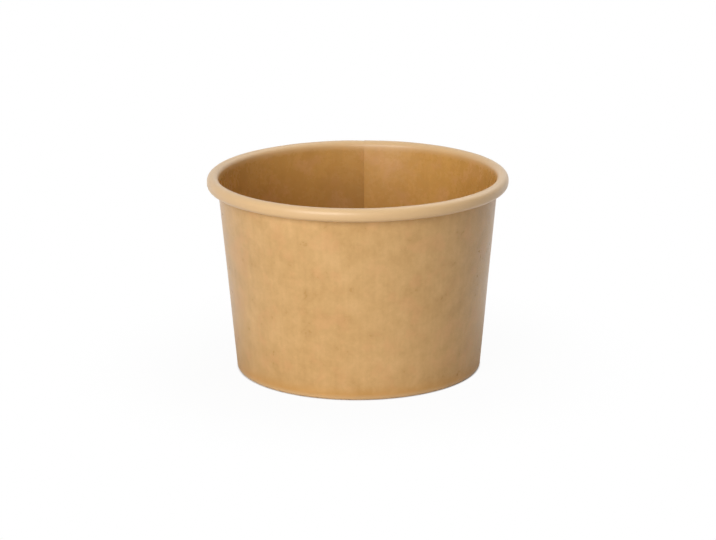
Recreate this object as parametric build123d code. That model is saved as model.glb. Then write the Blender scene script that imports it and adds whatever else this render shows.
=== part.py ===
from build123d import *
import os
from math import asin, atan2, cos, degrees, hypot, sin, tan

# Paper ice cream tub: a wrapped sidewall and a recessed bottom, both of coated kraft board.
# Millimetres, +Z up. The origin is the centre of the ring that the tub stands on.
# The front of the tub is towards -Y, and the side seam is at the back.

# Overall sizes
rim_diameter = 90.0        # over the rolled rim
base_diameter = 73.4       # over the sidewall, where it meets the table
height = 59.2              # table to the top of the rim

# Board
wall_board = 0.40          # sidewall, with its coating
bottom_board = 0.40        # bottom, with its coating

# Rolled rim
curl_width = 3.48          # across the top of the roll
curl_height = 4.10         # top of the roll to its underside
curl_gap = 0.08            # between the wall and the roll that comes back to it
curl_tuck = 0.20           # how much tighter the hidden end of the roll is bent
curl_end_turn = 75.0       # degrees of bend in the hidden end, inside the roll

# Foot
bottom_recess = 6.0        # table to the underside of the bottom
bottom_bend = 0.30         # inside radius of the bend from the bottom into its skirt
fold_gap = 0.60            # between the underside of the bottom and the raw edge of the fold
skirt_end_gap = 0.50       # between the skirt's raw edge and the crease of the fold
seal_gap = 0.02            # on each side of the skirt, where the coatings are fused

# Side seam
seam_azimuth = 87.1        # degrees from +X to the raw edge that shows inside the tub
seam_lap = 7.0             # width of the double wall, measured round the rim
seam_ramp = 6.5            # width over which the outer layer climbs over the inner one
ramp_steps = 4             # stretches that the climb is lofted through

rim_radius = rim_diameter / 2
base_radius = base_diameter / 2
curl_bend = curl_width / 2
curl_r = rim_radius - curl_bend
curl_z = height - curl_bend
fold_height = bottom_recess - fold_gap
lap_angle = degrees(seam_lap / rim_radius)
ramp_angle = degrees(seam_ramp / rim_radius)


def wall_lean():
    """The wall's angle from upright: from the base, its outer face runs into the bend of the rim."""
    across = curl_r - base_radius
    return atan2(across, curl_z) - asin((curl_bend - wall_board) / hypot(across, curl_z))


lean = wall_lean()


def wall_outside(z):
    """Radius of the wall's outer face at a height."""
    return base_radius + z * tan(lean)


def wall_inside(z):
    """Radius of the wall's food side at a height."""
    return wall_outside(z) - wall_board / cos(lean)


def fold_outside(z):
    """Radius of the face of the fold that grips the skirt, at a height."""
    return wall_inside(z) - (bottom_board + 2 * seal_gap) / cos(lean)


def strip(start, heading, moves, board):
    """Section of a strip of board that is bent along its length, in radius and height.

    Its food side begins at start and lies on the left of the way it goes, and heading is that way's
    angle from outwards. A move is a run's length, or a bend's inside radius and its turn to the left.
    """
    food_side = []
    outer_side = []
    here = Vector(*start)
    for move in moves:
        along = Vector(1, 0).rotate(Axis.Z, heading)
        left = Vector(0, 1).rotate(Axis.Z, heading)
        beside = here - left * board
        if isinstance(move, tuple):
            inside, turn = move
            outside = inside + board
            radius, beside_radius = (inside, outside) if turn > 0 else (outside, inside)
            centre = here + left * (radius if turn > 0 else -radius)
            if radius > 0:
                food_side.append(JernArc(here, along, radius, turn))
            if beside_radius > 0:
                outer_side.append(JernArc(beside, along, beside_radius, turn))
            here = centre + (here - centre).rotate(Axis.Z, turn)
            heading += turn
        else:
            food_side.append(Line(here, here + along * move))
            outer_side.append(Line(beside, beside + along * move))
            here += along * move
    first_edge = Line(food_side[0] @ 0, outer_side[0] @ 0)
    last_edge = Line(food_side[-1] @ 1, outer_side[-1] @ 1)
    return make_face([*food_side, *outer_side, first_edge, last_edge])


def underside_bend():
    """Food-side radius of the bend under the roll, which brings it back to the wall."""
    beside_wall = (curl_bend - wall_board) / cos(lean) + (curl_height - curl_bend) * tan(lean)
    return (curl_bend + beside_wall - curl_gap) / (2 + tan(lean))


def wall_section(layer):
    """Section of the sidewall: the fold, the wall and the roll of the rim, as radius and height.

    Layer 0 is the plain wall. Layer 1 lies on the outer face of layer 0, one board further out on
    the wall, further in on the fold, and inside the roll.
    """
    shift = layer * wall_board
    aside = shift / cos(lean)
    crease = wall_board
    under = underside_bend()
    drop = curl_height - curl_bend - under

    fold_top = Vector(fold_outside(fold_height) - aside, fold_height)
    fold_crease = Vector(fold_outside(crease) - aside, crease)
    foot_crease = Vector(wall_inside(crease) + aside, crease)
    top_bend = curl_bend - shift
    rim_start = Vector(curl_r - top_bend * cos(lean), curl_z + top_bend * sin(lean))
    slope = degrees(lean)
    moves = [
        (fold_crease - fold_top).length,
        (0, 90 + slope),
        (foot_crease - fold_crease).length,
        (0, 90 - slope),
        (rim_start - foot_crease).length,
        (top_bend - wall_board, slope - 180),
        drop,
        (under - shift - wall_board, -180),
        (under - curl_tuck - shift - wall_board, -curl_end_turn),
    ]
    return strip(fold_top, -90 - slope, moves, wall_board)


def at_azimuth(section, azimuth):
    """A section stood upright and turned about the tub's axis."""
    return Rot(0, 0, azimuth) * (Plane.XZ * section)


def climbing_layer():
    """Where the outer end of the blank climbs from the plain wall to the top of the inner end.

    It is steepest beside the raw edge of the inner end, which it is bent over.
    """
    sections = []
    for step in range(ramp_steps + 1):
        way = step / ramp_steps
        layer = (1 - way) ** 2
        sections.append(at_azimuth(wall_section(layer), seam_azimuth + way * ramp_angle))
    return loft(sections)


def sidewall():
    """The wrapped blank: one plain turn, the double wall of the seam, and the climb beside it."""
    plain = at_azimuth(wall_section(0), seam_azimuth + ramp_angle)
    doubled = at_azimuth(wall_section(0) + wall_section(1), seam_azimuth - lap_angle)
    turn = revolve(plain, Axis.Z, 360 - lap_angle - ramp_angle)
    lap = revolve(doubled, Axis.Z, lap_angle)
    return turn + lap + climbing_layer()


def bottom_disc():
    """The round bottom, with its skirt bent down into the fold of the sidewall."""
    top_z = bottom_recess + bottom_board
    bend = bottom_bend + bottom_board
    skirt_z = wall_board + skirt_end_gap

    def skirt_outside(z):
        return wall_inside(z) - seal_gap / cos(lean)

    bend_z = top_z - bend
    bend_r = skirt_outside(bend_z) - bend / cos(lean)
    skirt_start = Vector(bend_r + bend * cos(lean), bend_z - bend * sin(lean))
    skirt_end = Vector(skirt_outside(skirt_z), skirt_z)
    moves = [bend_r, (bottom_bend, -90 - degrees(lean)), (skirt_start - skirt_end).length]
    section = strip((0, top_z), 0, moves, bottom_board)
    return revolve(at_azimuth(section, 0), Axis.Z, 360)


os.makedirs("parts", exist_ok=True)
export_step(sidewall(), "parts/sidewall.step")
export_step(bottom_disc(), "parts/bottom_disc.step")
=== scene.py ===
from math import asin, atan2, cos, hypot, pi, radians, sin, tan

import bmesh
import bpy
from bpy.props import FloatProperty, FloatVectorProperty, IntProperty, PointerProperty
from mathutils import Matrix, Vector, noise


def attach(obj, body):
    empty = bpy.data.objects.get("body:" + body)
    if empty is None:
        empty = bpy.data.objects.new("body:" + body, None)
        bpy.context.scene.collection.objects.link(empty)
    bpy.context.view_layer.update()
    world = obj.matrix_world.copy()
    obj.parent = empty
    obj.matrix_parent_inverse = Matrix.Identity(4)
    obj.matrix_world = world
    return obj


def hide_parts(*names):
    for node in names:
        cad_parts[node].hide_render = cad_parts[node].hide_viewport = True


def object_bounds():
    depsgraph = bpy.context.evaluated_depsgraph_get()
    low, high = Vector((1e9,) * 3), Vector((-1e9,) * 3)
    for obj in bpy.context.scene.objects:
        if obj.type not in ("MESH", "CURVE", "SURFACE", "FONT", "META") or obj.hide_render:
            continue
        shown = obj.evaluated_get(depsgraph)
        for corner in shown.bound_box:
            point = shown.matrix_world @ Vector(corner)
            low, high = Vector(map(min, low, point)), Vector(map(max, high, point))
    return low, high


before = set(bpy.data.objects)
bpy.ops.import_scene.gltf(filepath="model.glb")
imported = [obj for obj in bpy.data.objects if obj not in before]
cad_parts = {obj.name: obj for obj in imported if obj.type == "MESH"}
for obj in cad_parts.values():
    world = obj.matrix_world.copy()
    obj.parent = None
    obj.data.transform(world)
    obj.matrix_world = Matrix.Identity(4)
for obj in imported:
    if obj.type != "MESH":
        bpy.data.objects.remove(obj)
cad_low, cad_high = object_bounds()

# Looks of a paper ice cream tub: two boards of coated kraft, the sidewall and the bottom.
# Metres, +Z up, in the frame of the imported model. The front is towards -Y, the side seam at the back.

bl_info = {
    "name": "Kraft ice cream tub",
    "version": (1, 0, 0),
    "blender": (4, 5, 0),
    "location": "View3D > Sidebar > Tub",
    "description": "Wraps and folds a paper ice cream tub out of kraft board, and sets up a studio round it",
    "category": "Add Mesh",
}

MM = 0.001
INSIDE, OUTSIDE, CUT = range(3)

# How far apart the two sides, and the two pieces, lie on the flat blank, so that their grain differs.
SIDES_APART = 0.2
PIECES_APART = 0.5


def length(name, description, millimetres):
    """A size in the properties, given here in millimetres and kept in metres."""
    return FloatProperty(
        name=name, description=description, default=millimetres * MM, unit="LENGTH", precision=6)


def angle(name, description, turn):
    """An angle in the properties, given here in degrees and kept in radians."""
    return FloatProperty(name=name, description=description, default=radians(turn), subtype="ANGLE")


def share(name, description, amount):
    """A plain number from nothing to one in the properties."""
    return FloatProperty(
        name=name, description=description, default=amount, min=0, max=1, subtype="FACTOR")


def linear(part):
    """One part of a colour, from 0 to 255 as on a screen, as the light that it stands for."""
    part /= 255
    return part / 12.92 if part <= 0.04045 else ((part + 0.055) / 1.055) ** 2.4


def colour(name, description, red, green, blue):
    """A colour in the properties, given here as on a screen."""
    return FloatVectorProperty(
        name=name, description=description, subtype="COLOR", size=3, min=0, max=1,
        default=(linear(red), linear(green), linear(blue)))


class TubSizes(bpy.types.PropertyGroup):
    """Sizes of the two boards and of how they are wrapped, rolled and folded."""

    rim_diameter: length("Rim diameter", "Over the rolled rim", (cad_high.x - cad_low.x) / MM)
    base_diameter: length("Base diameter", "Over the sidewall at the table", 73.4)
    height: length("Height", "Table to the top of the rim", cad_high.z / MM)
    board: length("Board", "Thickness of both boards with their coating", 0.40)
    curl_width: length("Roll width", "Across the top of the rolled rim", 3.48)
    curl_height: length("Roll height", "Top of the rolled rim to its underside", 3.95)
    curl_gap: length("Roll gap", "Between the wall and the roll that comes back to it", 0.08)
    curl_tuck: length("Roll tuck", "How much tighter the hidden end of the roll is bent", 0.20)
    curl_end_turn: angle("Roll end", "Bend in the hidden end of the roll", 75)
    bottom_recess: length("Recess", "Table to the underside of the bottom", 6.0)
    bottom_bend: length("Bottom bend", "Inside radius of the bend into the skirt", 0.30)
    bottom_dish: length("Bottom dish", "How far the middle of the bottom sags", 0.22)
    foot_bend: length("Foot bend", "Inside radius of the bend where the wall meets the table", 0.40)
    fold_gap: length("Fold gap", "Underside of the bottom to the raw edge of the fold", 0.60)
    skirt_end_gap: length("Skirt gap", "Raw edge of the skirt to the crease of the fold", 0.50)
    seal_gap: length("Seal gap", "On each side of the skirt", 0.02)
    seam_azimuth: angle("Seam azimuth", "From +X to the raw edge that shows inside the tub", 87.1)
    seam_lap: length("Seam lap", "Width of the double wall, round the rim", 7.0)
    seam_ramp: length("Seam ramp", "Width over which the outer layer climbs", 6.5)
    seam_gap: length("Seam gap", "Between the two layers of the seam", 0.03)
    seam_press: share("Seam press", "How far rolling the rim thins the inner layer of the seam", 0.8)
    seam_flat: length("Seam flat", "How far the stiff double wall stays in from the round", 0.24)
    out_of_round: length("Out of round", "How far the rim leaves a true circle", 0.10)
    waviness: length("Waviness", "Height of the long waves in the sidewall", 0.07)
    crimp_depth: length("Crimp depth", "Depth of the ribs pressed into the fold of the foot", 0.06)
    rings: IntProperty(name="Rings", description="Steps in which the blank is wrapped", default=464)


class BoardLooks(bpy.types.PropertyGroup):
    """Colours and gloss of the kraft board, with the colours of the light and shade painted on it."""

    outer_pale: colour("Pale outside", "The lightest clouds of the outer side", 221, 178, 121)
    outer_deep: colour("Deep outside", "The darkest clouds of the outer side", 195, 151, 92)
    food_pale: colour("Pale inside", "The lightest clouds of the coated food side", 215, 165, 91)
    food_deep: colour("Deep inside", "The darkest clouds of the coated food side", 192, 141, 70)
    rosy: colour("Rosy kraft", "Clouds of a redder pulp", 219, 165, 112)
    # Painted light: the food side on the roll is painted this pale colour, as if lit from above with a
    # highlight.
    painted_roll_light: colour("Painted_roll_light", "The food side where it is stretched over the roll", 229, 193, 145)
    # Tints the board darker and more orange towards the foot.
    foot_tint: colour("Foot_tint", "The board near the foot, warmed when it was folded", 207, 150, 76)
    # Partly wear and partly a painted reflection of the floor, on the bend of the foot.
    wear_and_floor_sheen: colour("Worn", "The outer side where it is rubbed pale on the bend of the foot", 216, 182, 137)
    # Specks of bark, and also the colour that the painted shade inside the tub and the dark seam lines mix
    # towards.
    bark_and_shade: colour("Bark", "Specks of bark in the board", 128, 86, 46)
    # The raw cut edge, and also the colour that the roll's flank is mixed towards as painted shade.
    core: colour("Core", "The raw cut edge of the board", 205, 166, 118)
    food_roughness: share("Inside roughness", "Of the coated food side", 0.27)
    outer_roughness: share("Outside roughness", "Of the outer side", 0.31)
    food_gloss: share("Inside gloss", "Specular level of the coated food side", 0.38)
    outer_gloss: share("Outside gloss", "Specular level of the outer side", 0.29)
    roll_coat: share("Roll coat", "How much glossier the coating is on the roll", 0.40)
    # Painted shade on the outer end of the blank, beside the seam inside the tub.
    seam_shade: share("Seam shade", "How much darker the outer end of the blank is", 0.15)


class StudioLooks(bpy.types.PropertyGroup):
    """The camera, the lamps and the floor."""

    camera_distance: length("Distance", "Camera to the point that it looks at", 791.8)
    camera_elevation: angle("Elevation", "Of the camera above the table", 15.675)
    camera_roll: angle("Roll", "Turn of the camera about its own axis", -0.3216)
    aim_x: length("Aim X", "Where the camera looks, across", -0.058)
    aim_z: length("Aim Z", "Where the camera looks, up", 29.04)
    lens: FloatProperty(
        name="Lens", description="Focal length in millimetres, on a 36 mm sensor", default=132.33)
    sky: FloatProperty(name="Sky", description="Light from all round", default=0.06)
    top_power: FloatProperty(
        name="Top lamp", description="Power of the soft box overhead", default=2.0, unit="POWER")
    key_power: FloatProperty(
        name="Key lamp", description="Power of the soft box at the left front", default=8.3, unit="POWER")
    back_power: FloatProperty(
        name="Back lamp", description="Power of the soft box behind on the right", default=3.7, unit="POWER")
    under_power: FloatProperty(
        name="Lamp below", description="Power of the soft box that lights only the underside",
        default=4.0, unit="POWER")
    key_azimuth: angle("Key azimuth", "From the front, and negative to the left", -25)
    key_elevation: angle("Key elevation", "Of the soft box at the left front", 22)
    floor: colour("Floor", "The pale floor", 232, 232, 232)
    shadow: share("Shadow", "How much of the wide shadow the white floor keeps", 0.045)
    shadow_reach: length("Shadow reach", "From the tub's axis to where the floor is plain white", 95)
    contact: share("Contact", "How much of the shadow right beside the foot the floor keeps", 0.95)
    contact_reach: length("Contact reach", "From the foot to where that shadow ends", 0.4)


class Pen:
    """Draws one side of a board's section in the plane of X and Z, as a chain of edges."""

    def __init__(self, mesh, start, heading):
        self.mesh = mesh
        self.heading = heading
        self.line = bmesh.ops.create_vert(mesh, co=start)["vert"]

    def run(self, distance, pieces):
        """Goes straight on."""
        step = Vector((cos(self.heading), 0, sin(self.heading))) * (distance / pieces)
        for _ in range(pieces):
            grown = bmesh.ops.extrude_vert_indiv(self.mesh, verts=self.line[-1:])["verts"]
            bmesh.ops.translate(self.mesh, verts=grown, vec=step)
            self.line += grown

    def bend(self, radius, turn, steps):
        """Goes round an arc, to the left where the turn is positive. No radius is a sharp corner."""
        if radius > 0:
            left = Vector((-sin(self.heading), 0, cos(self.heading)))
            centre = self.line[-1].co + left * (radius if turn > 0 else -radius)
            drawn = len(self.mesh.verts)
            bmesh.ops.spin(
                self.mesh, geom=self.line[-1:], cent=centre, axis=(0, -1, 0), angle=turn, steps=steps)
            self.mesh.verts.ensure_lookup_table()
            self.line += self.mesh.verts[drawn:]
        self.heading += turn


def draw_board(mesh, start, heading, moves, board):
    """Draws the food side and the outer side of a board, and returns their two lines of vertices.

    The food side begins at start and lies on the left of the way it goes. A move is a run, as its
    length and pieces, or a bend, as its inside radius, its turn to the left and its steps.
    """
    lines = []
    for depth in (0, board):
        pen = Pen(mesh, start + Vector((sin(heading), 0, -cos(heading))) * depth, heading)
        for move in moves:
            if len(move) == 2:
                pen.run(*move)
            else:
                inside, turn, steps = move
                on_inside = (turn > 0) == (depth == 0)
                pen.bend(inside if on_inside else inside + board, turn, steps)
        lines.append(pen.line)
    return lines


class Outline:
    """The lines that the two boards follow, worked out from the sizes."""

    def __init__(self, sizes):
        self.s = sizes
        self.base_r = sizes.base_diameter / 2
        self.curl_bend = sizes.curl_width / 2
        self.curl_r = sizes.rim_diameter / 2 - self.curl_bend
        self.curl_z = sizes.height - self.curl_bend
        across = self.curl_r - self.base_r
        self.lean = atan2(across, self.curl_z) - asin(
            (self.curl_bend - sizes.board) / hypot(across, self.curl_z))
        self.lap_turn = sizes.seam_lap / (sizes.rim_diameter / 2)
        self.ramp_turn = sizes.seam_ramp / (sizes.rim_diameter / 2)

    def wall_outside(self, z):
        """Radius of the wall's outer face at a height."""
        return self.base_r + z * tan(self.lean)

    def wall_inside(self, z):
        """Radius of the wall's food side at a height."""
        return self.wall_outside(z) - self.s.board / cos(self.lean)

    def fold_outside(self, z):
        """Radius of the face of the fold that grips the skirt, at a height."""
        return self.wall_inside(z) - (self.s.board + 2 * self.s.seal_gap) / cos(self.lean)

    def sidewall_corners(self, shift):
        """The fold's raw edge, the creases of the fold and foot, and where the roll starts."""
        s, lean = self.s, self.lean
        aside = shift / cos(lean)
        fold_z = s.bottom_recess - s.fold_gap
        top_bend = self.curl_bend - shift
        return [
            Vector((self.fold_outside(fold_z) - aside, 0, fold_z)),
            Vector((self.fold_outside(s.board) - aside, 0, s.board)),
            Vector((self.wall_inside(s.board) + aside, 0, s.board)),
            Vector((self.curl_r - top_bend * cos(lean), 0, self.curl_z + top_bend * sin(lean))),
        ]

    def sidewall_runs(self, shift):
        """Lengths of the food side's three straight runs: the fold, the foot and the wall."""
        corners = self.sidewall_corners(shift)
        fold_run, foot_run, wall_run = [
            (there - here).length for here, there in zip(corners, corners[1:])]
        cut = self.s.foot_bend * tan((pi / 2 - self.lean) / 2)
        return [fold_run, foot_run - cut, wall_run - cut]

    def roll_start(self):
        """How far along the food side the roll starts."""
        return sum(self.sidewall_runs(0)) + self.s.foot_bend * (pi / 2 - self.lean)

    def draw_sidewall(self, mesh, layer):
        """The strip from the fold's raw edge, round the foot, up the wall and into the roll."""
        s, lean = self.s, self.lean
        shift = layer * (s.board + s.seam_gap)
        beside_wall = (self.curl_bend - s.board) / cos(lean) + (s.curl_height - self.curl_bend) * tan(lean)
        under = (self.curl_bend + beside_wall - s.curl_gap) / (2 + tan(lean))
        top_bend = self.curl_bend - shift
        fold_run, foot_run, wall_run = self.sidewall_runs(shift)
        moves = [
            (fold_run, 6),
            (0, pi / 2 + lean, 4),
            (foot_run, 1),
            (s.foot_bend, pi / 2 - lean, 9),
            (wall_run, 26),
            (top_bend - s.board, lean - pi, 18),
            (s.curl_height - self.curl_bend - under, 1),
            (under - shift - s.board, -pi, 14),
            (under - s.curl_tuck - shift - s.board, -s.curl_end_turn, 5),
        ]
        return draw_board(mesh, self.sidewall_corners(shift)[0], -pi / 2 - lean, moves, s.board)

    def draw_bottom(self, mesh):
        """The bottom from its middle to the raw edge of its skirt."""
        s, lean = self.s, self.lean
        top_z = s.bottom_recess + s.board
        bend = s.bottom_bend + s.board
        skirt_z = s.board + s.skirt_end_gap

        def skirt_outside(z):
            return self.wall_inside(z) - s.seal_gap / cos(lean)

        bend_r = skirt_outside(top_z - bend) - bend / cos(lean)
        skirt_start = Vector((bend_r + bend * cos(lean), 0, top_z - bend - bend * sin(lean)))
        skirt_end = Vector((skirt_outside(skirt_z), 0, skirt_z))
        moves = [
            (bend_r, 22),
            (s.bottom_bend, -pi / 2 - lean, 10),
            ((skirt_start - skirt_end).length, 5),
        ]
        return draw_board(mesh, Vector((0, 0, top_z)), 0, moves, s.board)


def smooth(low, high, value):
    """Rises from 0 at low to 1 at high, level at both ends."""
    t = min(1, max(0, (value - low) / (high - low)))
    return t * t * (3 - 2 * t)


def push_out(vertex, distance):
    """Moves a vertex away from the tub's axis."""
    outwards = Vector((vertex.co.x, vertex.co.y, 0)).normalized()
    vertex.co += outwards * distance


def unround(mesh, outline):
    """Gives the boards the small unevenness of a tub that was wrapped by machine.

    Everything moves inwards or down, so that the tub stays inside its true size.
    """
    s = outline.s
    seam_middle = s.seam_azimuth - outline.lap_turn / 2
    flat_reach = radians(13)
    oval_azimuth = radians(35)
    wave_size = 19 * MM
    rim_dip = 0.05 * MM
    for vertex in mesh.verts:
        x, y, z = vertex.co
        if hypot(x, y) < 1e-6:
            continue
        azimuth = atan2(y, x)
        free = smooth(7 * MM, 34 * MM, z)  # the bottom holds the foot round
        oval = s.out_of_round * (1 + cos(2 * (azimuth - oval_azimuth))) / 2
        wave = s.waviness * (0.5 + 0.5 * noise.noise(Vector((x, y, z * 0.6)) / wave_size))
        away = min(1, abs(azimuth - seam_middle) / flat_reach)
        flat = s.seam_flat * (1 - away * away) ** 2
        push_out(vertex, -free * (oval + wave + flat))
        rim = smooth(50 * MM, 56 * MM, z)
        roll_wave = noise.noise(Vector((cos(azimuth), sin(azimuth), 3)) * 4.2)
        vertex.co.z -= rim * rim_dip * (1 + roll_wave)


def close_mesh(mesh, name, materials, crease=radians(32)):
    """Turns the faces outwards, shades them smooth between creases and makes the object."""
    bmesh.ops.recalc_face_normals(mesh, faces=mesh.faces)
    for face in mesh.faces:
        face.smooth = True
    for edge in mesh.edges:
        edge.smooth = edge.calc_face_angle(0) < crease
    data = bpy.data.meshes.new(name)
    mesh.to_mesh(data)
    mesh.free()
    for material in materials:
        data.materials.append(material)
    piece = bpy.data.objects.new(name, data)
    bpy.context.scene.collection.objects.link(piece)
    return piece


def measure_line(line, layer):
    """Writes on each vertex how far along its line it lies."""
    walked = 0
    for before, vertex in zip([line[0], *line], line):
        walked += (vertex.co - before.co).length
        vertex[layer] = walked


def lay_out(mesh, side, place):
    """Gives every face its side of the board, and its place on the flat blank as the UV map.

    A face between the two sides is a cut edge. Place is a function of a vertex.
    """
    blank = mesh.loops.layers.uv.new("blank")
    for face in mesh.faces:
        sides = {round(vertex[side]) for vertex in face.verts}
        face.material_index = CUT if len(sides) > 1 else sides.pop()
        for corner in face.loops:
            corner[blank].uv = place(corner.vert)


def build_sidewall(sizes, materials):
    """Spins the strip's section through the blank's full turn, so that its two ends lap.

    Each vertex carries the way to its place in the outer layer of the seam, and the way to the food
    side, which the board is thinned towards. The outer end follows the first, the inner end the second.
    """
    outline = Outline(sizes)
    mesh = bmesh.new()
    names = ("along", "side", "turn", "out", "up", "thin_out", "thin_up")
    along, side, turn, out, up, thin_out, thin_up = (mesh.verts.layers.float.new(name) for name in names)
    spare = bmesh.new()
    sides = outline.draw_sidewall(mesh, 0)
    lapped = outline.draw_sidewall(spare, 1)
    for which, (line, lapped_line) in enumerate(zip(sides, lapped)):
        measure_line(line, along)
        for vertex, there, food in zip(line, lapped_line, sides[INSIDE]):
            vertex[side] = which
            vertex[out] = there.co.x - vertex.co.x
            vertex[up] = there.co.z - vertex.co.z
            vertex[thin_out] = food.co.x - vertex.co.x
            vertex[thin_up] = food.co.z - vertex.co.z
    spare.free()
    for end in (0, -1):
        bmesh.ops.contextual_create(mesh, geom=[line[end] for line in sides])
    bmesh.ops.contextual_create(mesh, geom=mesh.edges[:])
    section = len(mesh.verts)

    bmesh.ops.rotate(
        mesh, verts=mesh.verts, cent=(0, 0, 0), matrix=Matrix.Rotation(sizes.seam_azimuth, 3, "Z"))
    whole_turn = 2 * pi + outline.lap_turn
    rings = sizes.rings
    bmesh.ops.spin(
        mesh, geom=[*mesh.verts, *mesh.edges, *mesh.faces], cent=(0, 0, 0), axis=(0, 0, -1),
        angle=whole_turn, steps=rings)
    if len(mesh.verts) != section * (rings + 1):
        raise RuntimeError("the sidewall's rings of vertices don't follow its section")

    layer_apart = sizes.board + sizes.seam_gap
    climb_from = 2 * pi - outline.ramp_turn
    lifted_below = 3 * MM
    ribs_end = sizes.bottom_recess - sizes.fold_gap - 0.6 * MM
    rib_rings = 4
    for index, vertex in enumerate(mesh.verts):
        ring = index // section
        vertex[turn] = whole_turn * ring / rings
        climb = min(1, max(0, (vertex[turn] - climb_from) / outline.ramp_turn)) ** 2
        pressed = smooth(52 * MM, 55 * MM, vertex.co.z)
        inner_end = 1 - smooth(outline.lap_turn, 2 * outline.lap_turn, vertex[turn])
        give = 1 if vertex[side] == OUTSIDE else sizes.seam_press
        climb *= 1 - pressed * sizes.board / layer_apart * give
        thinned = pressed * sizes.seam_press * inner_end
        lifted = (1 - smooth(sizes.board, lifted_below, vertex.co.z)) * inner_end
        push_out(vertex, climb * vertex[out] + thinned * vertex[thin_out])
        vertex.co.z += climb * vertex[up] + thinned * vertex[thin_up] + lifted * layer_apart
        on_fold = vertex[side] == OUTSIDE and 0 < vertex[along] < ribs_end
        if on_fold and ring % rib_rings < rib_rings / 2:
            push_out(vertex, sizes.crimp_depth)
    unround(mesh, outline)
    reach = sizes.rim_diameter / 2
    lay_out(mesh, side, lambda vertex: (
        vertex[turn] * reach, vertex[along] + vertex[side] * SIDES_APART))
    return close_mesh(mesh, "sidewall_board", materials)


def build_bottom(sizes, materials):
    """Spins the bottom's section through a full turn and closes it at the middle."""
    outline = Outline(sizes)
    mesh = bmesh.new()
    side = mesh.verts.layers.float.new("side")
    sides = outline.draw_bottom(mesh)
    for which, line in enumerate(sides):
        for vertex in line:
            vertex[side] = which
    bmesh.ops.contextual_create(mesh, geom=[line[-1] for line in sides])
    bmesh.ops.spin(
        mesh, geom=[*mesh.verts, *mesh.edges], cent=(0, 0, 0), axis=(0, 0, 1), angle=2 * pi,
        steps=192, use_merge=True)
    bmesh.ops.remove_doubles(mesh, verts=mesh.verts, dist=1e-6)
    middle_reach = outline.wall_inside(sizes.bottom_recess)
    for vertex in mesh.verts:
        x, y, z = vertex.co
        inwards = 1 - min(1, hypot(x, y) / middle_reach) ** 2
        lump = noise.noise(Vector((x, y, 0)) / (14 * MM))
        vertex.co.z -= inwards * (sizes.bottom_dish + 0.05 * MM * lump)
    unround(mesh, outline)
    lay_out(mesh, side, lambda vertex: (
        vertex.co.x - PIECES_APART + vertex[side] * SIDES_APART, vertex.co.y - PIECES_APART))
    return close_mesh(mesh, "bottom_board", materials)


class Wire:
    """A socket that sums can be written with: each adds a Math node."""

    def __init__(self, finish, socket):
        self.finish = finish
        self.socket = socket

    def math(self, operation, first, second):
        return self.finish.add("ShaderNodeMath", {"operation": operation}, {0: first, 1: second})

    def __add__(self, other):
        return self.math("ADD", self, other)

    __radd__ = __add__

    def __sub__(self, other):
        return self.math("SUBTRACT", self, other)

    def __rsub__(self, other):
        return self.math("SUBTRACT", other, self)

    def __mul__(self, other):
        return self.math("MULTIPLY", self, other)

    def __abs__(self):
        return self.finish.add("ShaderNodeMath", {"operation": "ABSOLUTE"}, {0: self})

    def smooth(self, low, high):
        """Rises from 0 where this is low to 1 where it is high, level at both ends."""
        return self.finish.add(
            "ShaderNodeMapRange", {"interpolation_type": "SMOOTHSTEP"},
            {"Value": self, "From Min": low, "From Max": high})


class Finish:
    """A material or a world that is being wired, and the one method that adds its nodes."""

    def __init__(self, holder):
        holder.use_nodes = True
        self.holder = holder
        self.tree = holder.node_tree
        self.tree.nodes.clear()

    def add(self, kind, settings=None, sockets=None, output=0):
        """Adds a node, first with its settings, then with its sockets' values or links."""
        node = self.tree.nodes.new(kind)
        node.location = (len(self.tree.nodes) * 190, 0)
        for setting, value in (settings or {}).items():
            setattr(node, setting, value)
        for key, value in (sockets or {}).items():
            socket = self.find(node.inputs, key)
            if isinstance(value, Wire):
                self.tree.links.new(value.socket, socket)
            else:
                socket.default_value = value
        return Wire(self, self.find(node.outputs, output)) if node.outputs else node

    @staticmethod
    def find(sockets, key):
        """A socket by its place in the list, or by its name or identifier."""
        if isinstance(key, int):
            return sockets[key]
        return next(s for s in sockets if s.enabled and key in (s.name, s.identifier))

    def mix(self, factor, first, second):
        """A colour between two."""
        return self.add(
            "ShaderNodeMix", {"data_type": "RGBA"},
            {"Factor_Float": factor, "A_Color": first, "B_Color": second}, "Result_Color")


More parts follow.
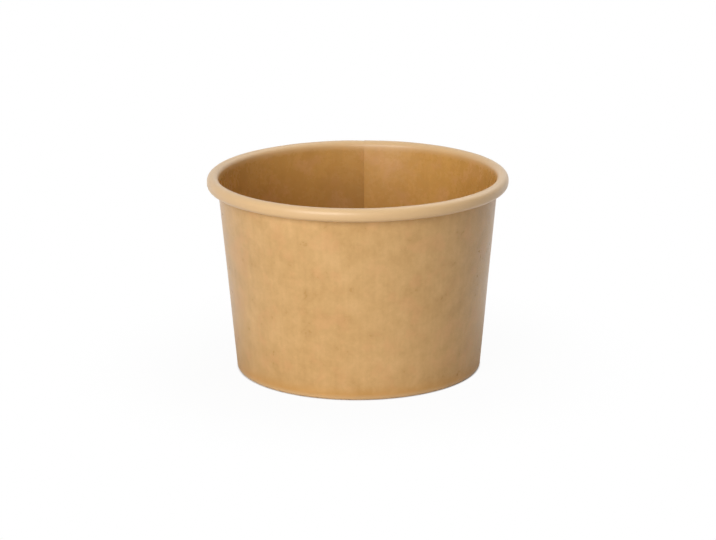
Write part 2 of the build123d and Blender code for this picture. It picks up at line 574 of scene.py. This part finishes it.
class Board:
    """What both sides of the coated kraft board share: soft clouds, grain, fibres and bark."""

    def __init__(self, name, looks, deep, pale, mottle=1.0, streaks=0.34):
        self.finish = finish = Finish(bpy.data.materials.new(name))
        self.looks = looks
        self.place = finish.add("ShaderNodeTexCoord", output="Object")
        self.blank = finish.add("ShaderNodeUVMap", {"uv_map": "blank"})
        self.middling = self.clouds(4.5 * MM, 3, 0.3)
        self.grain = self.clouds(1.1 * MM, 2, 0.7)
        self.light_strands = sum(
            self.strands(turn, 2.6 * MM, 0.17 * MM).smooth(0.60, 0.74) for turn in (12, 57, 101, 148))
        self.dark_strands = sum(
            self.strands(turn, 3.2 * MM, 0.20 * MM).smooth(0.64, 0.76) for turn in (33, 80, 126, 171))
        mottling = self.middling * 0.75 + self.grain * 0.24
        tone = (
            0.5 + self.clouds(15 * MM, 2, 0.47) * 0.85 + mottling * mottle
            + (self.strands(90, 22 * MM, 1.5 * MM, 2) - 0.5) * streaks
            + self.light_strands * 0.06 - self.dark_strands * 0.06)
        board = finish.mix(tone, (*deep, 1), (*pale, 1))
        redder = self.clouds(7 * MM, 3, 1.9).smooth(0.0, 0.16)
        self.colour = self.speckle(finish.mix(redder * 0.36, board, (*looks.rosy, 1)))

    def clouds(self, size, detail, move=0):
        """Soft noise about nothing, in clouds of a size."""
        moved = self.finish.add("ShaderNodeMapping", {}, {
            "Vector": self.place, "Location": (move, move, 0)})
        return self.finish.add("ShaderNodeTexNoise", {"noise_dimensions": "3D"}, {
            "Vector": moved, "Scale": 1 / size, "Detail": detail, "Roughness": 0.55}, "Fac") - 0.5

    def strands(self, turn, long, thick, detail=1):
        """Noise drawn out along the blank at a turn in degrees, as fibres lie."""
        laid = self.finish.add("ShaderNodeMapping", {"vector_type": "TEXTURE"}, {
            "Vector": self.blank, "Rotation": (0, 0, radians(turn)), "Scale": (long, thick, 1)})
        return self.finish.add("ShaderNodeTexNoise", {"noise_dimensions": "2D"}, {
            "Vector": laid, "Scale": 1, "Detail": detail, "Roughness": 0.5}, "Fac")

    def speckle(self, board):
        """Specks of bark, in the few cells whose own random number is high."""
        for size, strength in ((4.2 * MM, 0.06), (9.5 * MM, 0.05)):
            cells = self.finish.add("ShaderNodeTexVoronoi", {"voronoi_dimensions": "2D"}, {
                "Vector": self.blank, "Scale": 1 / size}, "Distance")
            number = self.finish.add("ShaderNodeSeparateColor", {}, {
                "Color": Wire(self.finish, cells.socket.node.outputs["Color"])}, "Red")
            specks = (1 - cells.smooth(0.02, 0.085)) * number.smooth(0.66, 0.86)
            board = self.finish.mix(specks * strength, board, (*self.looks.bark_and_shade, 1))
        return board

    def close(self, roughness, gloss, depth, rolled=0.0, coat=0.0):
        """Adds the relief of the pulp, as deep as given, and the gloss of the coating.

        Where the board is rolled, its relief is drawn out smooth and its coating shines more widely.
        """
        relief = (
            self.grain * 0.5 + self.light_strands * 0.35 + self.dark_strands * 0.3 + self.middling * 0.8)
        bumped = self.finish.add("ShaderNodeBump", {}, {
            "Height": relief * (1 - rolled * 0.8), "Strength": 0.30, "Distance": depth})
        dull = roughness + self.middling * 0.14 + self.grain * 0.10 + rolled * 0.12
        shader = self.finish.add("ShaderNodeBsdfPrincipled", {}, {
            "Base Color": self.colour, "Roughness": dull, "Normal": bumped, "IOR": 1.5,
            "Specular IOR Level": gloss, "Coat Weight": rolled * coat, "Coat Roughness": 0.38})
        self.finish.add("ShaderNodeOutputMaterial", {}, {"Surface": shader})
        return self.finish.holder


def outer_finish(name, looks, seam_u, lap):
    """The outer side, tinted darker and more orange towards the foot, and paler on the bend of the foot,
    partly from wear and partly as a painted reflection of the floor.

    The seam shows as a seal that was pressed darker, with a thin dark line beside its raw edge, partly a
    glue line and partly painted shadow of the step; the raw edge is paler, partly rubbed and partly a
    painted highlight.
    """
    board = Board(name, looks, looks.outer_deep, looks.outer_pale, mottle=1.7, streaks=0.28)
    finish = board.finish
    up = finish.add("ShaderNodeSeparateXYZ", {}, {"Vector": board.place}, "Z")
    around = finish.add("ShaderNodeSeparateXYZ", {}, {"Vector": board.blank}, "X")
    sealed = around.smooth(seam_u - 0.8 * MM, seam_u + 0.8 * MM)
    # Thin dark line beside the seam's raw edge: partly a glue line, partly painted shadow of the step.
    line = 1 - abs(around - lap).smooth(0.10 * MM, 0.55 * MM)
    sealed_and_shaded = finish.mix(sealed * 0.07 + line * 0.32, board.colour, (*looks.bark_and_shade, 1))
    # Tinted darker and more orange towards the foot.
    near_foot = 1 - (up + board.middling * 2.5 * MM).smooth(1.2 * MM, 5.0 * MM)
    tinted_to_foot = finish.mix(near_foot * 0.45, sealed_and_shaded, (*looks.foot_tint, 1))
    # Paler on the bend of the foot: partly wear, partly a painted reflection of the floor.
    foot_wear_and_sheen = 1 - (up + board.middling * 0.6 * MM).smooth(0.45 * MM, 1.85 * MM)
    # Paler along the seam's raw edge: partly rubbed wear, partly a painted highlight.
    edge_wear_and_highlight = around.smooth(seam_u + lap - 0.45 * MM, seam_u + lap)
    board.colour = finish.mix(foot_wear_and_sheen * 0.65 + edge_wear_and_highlight * 0.5, tinted_to_foot, (*looks.wear_and_floor_sheen, 1))
    return board.close(looks.outer_roughness, looks.outer_gloss, 0.12 * MM)


def food_finish(name, looks, seam_u, roll_v):
    """The food side: a deep tone under its coating, and glossier over the roll, where it is painted pale on
    top and darker on the flank as painted light and shade.

    Painted shade: the outer end of the blank is painted a shade darker up to the seam, and more so further
    down, and the whole inside is painted a little darker further down. The thin line where the ends meet is
    partly a glue line and partly painted shade of the groove at the step.
    """
    board = Board(name, looks, looks.food_deep, looks.food_pale)
    finish = board.finish
    around = finish.add("ShaderNodeSeparateXYZ", {}, {"Vector": board.blank}, "X")
    along = finish.add("ShaderNodeSeparateXYZ", {}, {"Vector": board.blank}, "Y")
    rolled = along.smooth(roll_v - 1.7 * MM, roll_v + 1.6 * MM)
    # Painted shade: the outer end of the blank darker up to the seam, more so further down.
    shaded_outer_end = around.smooth(seam_u - 34 * MM, seam_u - 3 * MM) * (1 - rolled)
    # Thin dark line at the seam: partly a glue line, partly painted shade of the groove at the step.
    line = (1 - abs(around - seam_u).smooth(0.05 * MM, 0.70 * MM)) * (1 - rolled)
    # Painted shade: the inside painted darker further down.
    painted_depth_shade = 1 - along.smooth(roll_v - 17 * MM, roll_v - 4 * MM)
    shade = painted_depth_shade * 0.05 + shaded_outer_end * (painted_depth_shade * 0.16 + looks.seam_shade) + line * 0.09
    shaded = finish.mix(shade, board.colour, (*looks.bark_and_shade, 1))
    # Painted light on the roll: pale on top like a highlight from above, painted darker towards its flank.
    painted_flank_shade = along.smooth(roll_v + 3.0 * MM, roll_v + 7.5 * MM)
    roll = finish.mix(painted_flank_shade * 0.6, (*looks.painted_roll_light, 1), (*looks.core, 1))
    board.colour = finish.mix(rolled * 0.85, shaded, roll)
    return board.close(looks.food_roughness, looks.food_gloss, 0.06 * MM, rolled, looks.roll_coat)


def core_finish(name, looks):
    """The raw cut edge: open fibre, paler and dull, in fine plies."""
    finish = Finish(bpy.data.materials.new(name))
    place = finish.add("ShaderNodeTexCoord", output="Object")
    fuzz = finish.add("ShaderNodeTexNoise", {}, {
        "Vector": place, "Scale": 1 / (0.35 * MM), "Detail": 3}, "Fac")
    patches = finish.add("ShaderNodeTexNoise", {}, {
        "Vector": place, "Scale": 1 / (2.5 * MM), "Detail": 2}, "Fac")
    tint = finish.mix(fuzz * 0.6 + patches * 0.4, (*looks.outer_deep, 1), (*looks.core, 1))
    bumped = finish.add("ShaderNodeBump", {}, {
        "Height": fuzz, "Strength": 0.6, "Distance": 0.08 * MM})
    shader = finish.add("ShaderNodeBsdfPrincipled", {}, {
        "Base Color": tint, "Roughness": 0.86, "Normal": bumped})
    finish.add("ShaderNodeOutputMaterial", {}, {"Surface": shader})
    return finish.holder


def looked_at(finish):
    """1 where the camera looks at a thing itself, and 1 where it looks at its mirror image."""
    path = finish.add("ShaderNodeLightPath", output="Is Camera Ray")
    mirrored, through = (
        Wire(finish, path.socket.node.outputs[f"Is {kind} Ray"]) for kind in ("Glossy", "Transmission"))
    return path, (mirrored + through).smooth(0, 1)


def floor_finish(looks, foot_r):
    """A pale floor that shows white, with a part of the tub's shadow near it.

    It is clear from below, and also right under the tub, so that the lamp below lights the underside.
    """
    finish = Finish(bpy.data.materials.new("studio_floor"))
    matt = finish.add("ShaderNodeBsdfDiffuse", {}, {"Color": (*looks.floor, 1)})
    white = finish.add("ShaderNodeEmission", {}, {"Color": (1, 1, 1, 1), "Strength": 1})
    place = finish.add("ShaderNodeTexCoord", output="Object")
    away = finish.add("ShaderNodeVectorMath", {"operation": "LENGTH"}, {0: place}, "Value")
    near = 1 - away.smooth(foot_r, looks.shadow_reach)
    beside = 1 - away.smooth(foot_r - looks.contact_reach, foot_r + looks.contact_reach)
    directly, mirrored = looked_at(finish)
    whitened = directly * (1 - near * looks.shadow) * (1 - beside * looks.contact) + mirrored * (1 - near)
    top = finish.add("ShaderNodeMixShader", {}, {0: whitened, 1: matt, 2: white})
    clear = finish.add("ShaderNodeBsdfTransparent")
    below = finish.add("ShaderNodeNewGeometry", output="Backfacing")
    under_tub = 1 - away.smooth(foot_r - 0.8 * MM, foot_r - 0.6 * MM)
    surface = finish.add("ShaderNodeMixShader", {}, {0: below + under_tub, 1: top, 2: clear})
    finish.add("ShaderNodeOutputMaterial", {}, {"Surface": surface})
    return finish.holder


def set_world(looks):
    """White to look at, and a plain soft light from all round."""
    world = bpy.data.worlds.new("studio")
    finish = Finish(world)
    light = finish.add("ShaderNodeBackground", {}, {"Color": (1, 1, 1, 1), "Strength": looks.sky})
    white = finish.add("ShaderNodeBackground", {}, {"Color": (1, 1, 1, 1), "Strength": 1})
    directly, mirrored = looked_at(finish)
    surface = finish.add("ShaderNodeMixShader", {}, {0: directly + mirrored, 1: light, 2: white})
    finish.add("ShaderNodeOutputWorld", {}, {"Surface": surface})
    bpy.context.scene.world = world


def soft_box(name, power, size, azimuth, elevation):
    """A square lamp, one metre from the tub's middle, that shines at it.

    Azimuth 0 is at the front, and is positive to the right.
    """
    lamp = bpy.data.lights.new(name, "AREA")
    lamp.energy = power
    lamp.size = size
    holder = bpy.data.objects.new(name, lamp)
    way = Vector((sin(azimuth) * cos(elevation), -cos(azimuth) * cos(elevation), sin(elevation)))
    holder.location = Vector((0, 0, 30 * MM)) + way
    holder.rotation_mode = "QUATERNION"
    holder.rotation_quaternion = (-way).to_track_quat("-Z", "Y")
    bpy.context.scene.collection.objects.link(holder)


def set_camera(looks):
    """The camera stands where the photographer's stood."""
    camera = bpy.data.cameras.new("camera")
    camera.lens = looks.lens
    camera.sensor_width = 36
    camera.clip_start = 0.05
    camera.clip_end = 20
    holder = bpy.data.objects.new("camera", camera)
    elevation = looks.camera_elevation
    aim = Vector((looks.aim_x, 0, looks.aim_z))
    back = Vector((0, -cos(elevation), sin(elevation)))
    turned = (-back).to_track_quat("-Z", "Y").to_matrix() @ Matrix.Rotation(looks.camera_roll, 3, "Z")
    holder.location = aim + back * looks.camera_distance
    holder.rotation_mode = "QUATERNION"
    holder.rotation_quaternion = turned.to_quaternion()
    bpy.context.scene.collection.objects.link(holder)
    bpy.context.scene.camera = holder


class TUB_OT_stage(bpy.types.Operator):
    """Set up the white studio: camera, floor, soft boxes and the light from all round"""

    bl_idname = "tub.stage"
    bl_label = "Studio"

    def execute(self, context):
        looks = context.scene.tub_studio
        set_camera(looks)
        set_world(looks)
        mesh = bmesh.new()
        bmesh.ops.create_grid(mesh, x_segments=1, y_segments=1, size=2.5)
        foot_r = context.scene.tub_sizes.base_diameter / 2
        floor = close_mesh(mesh, "floor", [floor_finish(looks, foot_r)])
        soft_box("top_box", looks.top_power, 1.3, 0, radians(89))
        soft_box("key_box", looks.key_power, 0.65, looks.key_azimuth, looks.key_elevation)
        soft_box("back_box", looks.back_power, 0.9, radians(135), radians(50))
        soft_box("under_box", looks.under_power, 0.9, 0, radians(-80))
        return {"FINISHED"}


def finishes(looks, sizes):
    """The three finishes of a board, in the order of INSIDE, OUTSIDE and CUT."""
    if "kraft_cut_edge" not in bpy.data.materials:
        seam_u = pi * sizes.rim_diameter
        core_finish("kraft_cut_edge", looks)
        outer_finish("kraft_outside", looks, seam_u, sizes.seam_lap)
        food_finish("kraft_inside", looks, seam_u, Outline(sizes).roll_start())
    return [bpy.data.materials[name] for name in ("kraft_inside", "kraft_outside", "kraft_cut_edge")]


class TUB_OT_sidewall(bpy.types.Operator):
    """Wrap the sidewall: its seam, rolled rim and folded foot, in one strip of board"""

    bl_idname = "tub.sidewall"
    bl_label = "Sidewall"

    def execute(self, context):
        sizes = context.scene.tub_sizes
        materials = finishes(context.scene.tub_board, sizes)
        piece = build_sidewall(sizes, materials)
        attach(piece, "root")
        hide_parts("sidewall")
        return {"FINISHED"}


class TUB_OT_bottom(bpy.types.Operator):
    """Set the bottom into the foot, with its skirt in the sidewall's fold"""

    bl_idname = "tub.bottom"
    bl_label = "Bottom"

    def execute(self, context):
        sizes = context.scene.tub_sizes
        materials = finishes(context.scene.tub_board, sizes)
        piece = build_bottom(sizes, materials)
        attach(piece, "root")
        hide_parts("bottom_disc")
        return {"FINISHED"}


class TUB_PT_panel(bpy.types.Panel):
    """The tub's pieces and its studio, in the sidebar of the 3D view"""

    bl_idname = "TUB_PT_panel"
    bl_label = "Ice cream tub"
    bl_space_type = "VIEW_3D"
    bl_region_type = "UI"
    bl_category = "Tub"

    def draw(self, context):
        for operator in OPERATORS:
            self.layout.operator(operator.bl_idname)


GROUPS = {"tub_sizes": TubSizes, "tub_board": BoardLooks, "tub_studio": StudioLooks}
OPERATORS = (TUB_OT_stage, TUB_OT_sidewall, TUB_OT_bottom)


def register():
    for made in (*GROUPS.values(), *OPERATORS, TUB_PT_panel):
        bpy.utils.register_class(made)
    for name, group in GROUPS.items():
        setattr(bpy.types.Scene, name, PointerProperty(type=group))


def unregister():
    for name in GROUPS:
        delattr(bpy.types.Scene, name)
    for made in (TUB_PT_panel, *OPERATORS, *GROUPS.values()):
        bpy.utils.unregister_class(made)


def main():
    """Makes the tub and its studio."""
    register()
    bpy.context.scene.view_settings.view_transform = "Standard"
    bpy.ops.tub.stage()
    bpy.ops.tub.sidewall()
    bpy.ops.tub.bottom()


if __name__ == "__main__":
    main()
